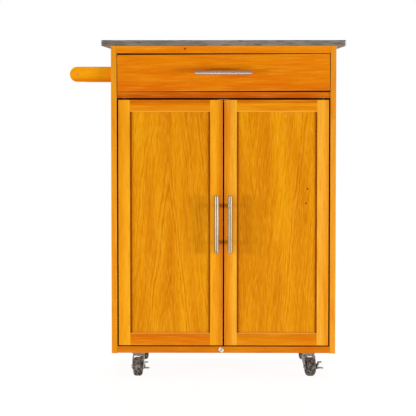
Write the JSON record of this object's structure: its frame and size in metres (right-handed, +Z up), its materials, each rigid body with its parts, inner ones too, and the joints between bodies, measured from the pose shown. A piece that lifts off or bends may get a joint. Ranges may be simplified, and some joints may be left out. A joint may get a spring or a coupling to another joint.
{
  "type": "kitchen island cart",
  "caption": "Kitchen island cart on casters with a steel-covered worktop, a drawer over a two-door cupboard, and a towel rack on one side.",
  "frame": {"origin": "on the floor under the middle of the whole cart, towel rack and handles included", "axes": "+X to the cart's right seen from the front, +Y towards its back, +Z up; the doors face -Y"},
  "size_m": [0.726, 0.475, 0.891],
  "materials": {
    "stainless_steel": "brushed, satin",
    "core_board": "grey laminate backing",
    "stained_rubberwood": "orange-brown stain under clear lacquer, eased edges",
    "shaded_rubberwood": "darker red-brown stain under clear lacquer",
    "door_veneer": "ash veneer, stained and lacquered",
    "inner_ply": "plain plywood, sealed",
    "satin_steel": "satin, brushed round",
    "zinc_steel": "bright zinc plate",
    "white_nylon": "moulded, matt",
    "white_plastic": "moulded, semi-gloss",
    "grey_rubber": "moulded, dusty matt"
  },
  "bodies": {
    "cabinet": {"worktop_skin": "stainless_steel", "worktop_core": "core_board", "side_panel_left": "stained_rubberwood", "side_panel_right": "stained_rubberwood", "bottom_board": "stained_rubberwood", "top_rail_front": "stained_rubberwood", "top_rail_back": "stained_rubberwood", "middle_rail": "shaded_rubberwood", "back_panel": "inner_ply", "shelf_board": "stained_rubberwood", "shelf_pins": "zinc_steel", "carcass_bolts": "zinc_steel", "wood_screws": "zinc_steel", "pivot_bushes": "white_nylon", "magnetic_catch": "zinc_steel", "towel_arm_front": "stained_rubberwood", "towel_arm_rear": "stained_rubberwood", "towel_bar": "stained_rubberwood", "cabinet_runners": "zinc_steel", "caster_plates": "zinc_steel"},
    "drawer": {"drawer_front": "stained_rubberwood", "drawer_side_left": "inner_ply", "drawer_side_right": "inner_ply", "drawer_back": "inner_ply", "drawer_bottom": "inner_ply", "drawer_handle": "satin_steel", "drawer_screws": "zinc_steel", "drawer_runners": "zinc_steel"},
    "door_left": {"door_left_outer_stile": "stained_rubberwood", "door_left_inner_stile": "stained_rubberwood", "door_left_top_rail": "stained_rubberwood", "door_left_bottom_rail": "stained_rubberwood", "door_left_panel": "door_veneer", "door_left_handle": "satin_steel", "door_left_screws": "zinc_steel", "door_left_strike": "zinc_steel", "door_left_pivot_pins": "zinc_steel"},
    "door_right": {"door_right_outer_stile": "stained_rubberwood", "door_right_inner_stile": "stained_rubberwood", "door_right_top_rail": "stained_rubberwood", "door_right_bottom_rail": "stained_rubberwood", "door_right_panel": "door_veneer", "door_right_handle": "satin_steel", "door_right_screws": "zinc_steel", "door_right_strike": "zinc_steel", "door_right_pivot_pins": "zinc_steel"},
    "cabinet_rollers": {"cabinet_rollers": "white_nylon"},
    "drawer_rollers": {"drawer_rollers": "white_nylon"},
    "turn_button": {"turn_button": "white_plastic"},
    "caster_front_left": {"caster_front_left_fork": "zinc_steel"},
    "wheel_front_left": {"caster_front_left_wheel": "grey_rubber"},
    "brake_front_left": {"caster_front_left_brake_lever": "zinc_steel"},
    "caster_front_right": {"caster_front_right_fork": "zinc_steel"},
    "wheel_front_right": {"caster_front_right_wheel": "grey_rubber"},
    "brake_front_right": {"caster_front_right_brake_lever": "zinc_steel"},
    "caster_rear_left": {"caster_rear_left_fork": "zinc_steel"},
    "wheel_rear_left": {"caster_rear_left_wheel": "grey_rubber"},
    "caster_rear_right": {"caster_rear_right_fork": "zinc_steel"},
    "wheel_rear_right": {"caster_rear_right_wheel": "grey_rubber"}
  },
  "joints": [
    {"name": "drawer_slide", "type": "slide", "parent": "cabinet", "child": "drawer", "axis": [0, -1, 0], "range_m": [0, 0.3]},
    {"name": "door_left_hinge", "type": "hinge", "parent": "cabinet", "child": "door_left", "pos_m": [-0.22, -0.1925, 0.41035], "axis": [0, 0, -1], "range_deg": [0, 110]},
    {"name": "door_right_hinge", "type": "hinge", "parent": "cabinet", "child": "door_right", "pos_m": [0.306, -0.1925, 0.41035], "axis": [0, 0, 1], "range_deg": [0, 110]},
    {"name": "cabinet_roller_spin", "type": "hinge", "parent": "cabinet", "child": "cabinet_rollers", "pos_m": [0.043, -0.1685, 0.7715], "axis": [1, 0, 0], "range_deg": [0, 1920]},
    {"name": "drawer_roller_spin", "type": "hinge", "parent": "drawer", "child": "drawer_rollers", "pos_m": [0.043, 0.1575, 0.7715], "axis": [1, 0, 0], "range_deg": [0, 1920]},
    {"name": "turn_button_turn", "type": "hinge", "parent": "cabinet", "child": "turn_button", "pos_m": [0.037, -0.204, 0.074], "axis": [0, -1, 0], "continuous": true},
    {"name": "caster_front_left_swivel", "type": "hinge", "parent": "cabinet", "child": "caster_front_left", "pos_m": [-0.184, -0.1525, 0.06], "axis": [0, 0, 1], "continuous": true},
    {"name": "wheel_front_left_spin", "type": "hinge", "parent": "caster_front_left", "child": "wheel_front_left", "pos_m": [-0.18463, -0.17049, 0.025], "axis": [0.9994, -0.0349, 0], "continuous": true},
    {"name": "brake_front_left_press", "type": "hinge", "parent": "caster_front_left", "child": "brake_front_left", "pos_m": [-0.18463, -0.17049, 0.025], "axis": [0.9994, -0.0349, 0], "range_deg": [-20, 0]},
    {"name": "caster_front_right_swivel", "type": "hinge", "parent": "cabinet", "child": "caster_front_right", "pos_m": [0.27, -0.1525, 0.06], "axis": [0, 0, 1], "continuous": true},
    {"name": "wheel_front_right_spin", "type": "hinge", "parent": "caster_front_right", "child": "wheel_front_right", "pos_m": [0.27374, -0.17011, 0.025], "axis": [0.9781, 0.2079, 0], "continuous": true},
    {"name": "brake_front_right_press", "type": "hinge", "parent": "caster_front_right", "child": "brake_front_right", "pos_m": [0.27374, -0.17011, 0.025], "axis": [0.9781, 0.2079, 0], "range_deg": [-20, 0]},
    {"name": "caster_rear_left_swivel", "type": "hinge", "parent": "cabinet", "child": "caster_rear_left", "pos_m": [-0.184, 0.1575, 0.06], "axis": [0, 0, 1], "continuous": true},
    {"name": "wheel_rear_left_spin", "type": "hinge", "parent": "caster_rear_left", "child": "wheel_rear_left", "pos_m": [-0.18243, 0.13957, 0.025], "axis": [0.9962, 0.0872, 0], "continuous": true},
    {"name": "caster_rear_right_swivel", "type": "hinge", "parent": "cabinet", "child": "caster_rear_right", "pos_m": [0.27, 0.1575, 0.06], "axis": [0, 0, 1], "continuous": true},
    {"name": "wheel_rear_right_spin", "type": "hinge", "parent": "caster_rear_right", "child": "wheel_rear_right", "pos_m": [0.26781, 0.13963, 0.025], "axis": [0.9925, -0.1219, 0], "continuous": true}
  ],
  "couplings": [
    {"joint": "cabinet_roller_spin", "follows": "drawer_slide", "rad_per_m": 111.11},
    {"joint": "drawer_roller_spin", "follows": "drawer_slide", "rad_per_m": 111.11}
  ]
}
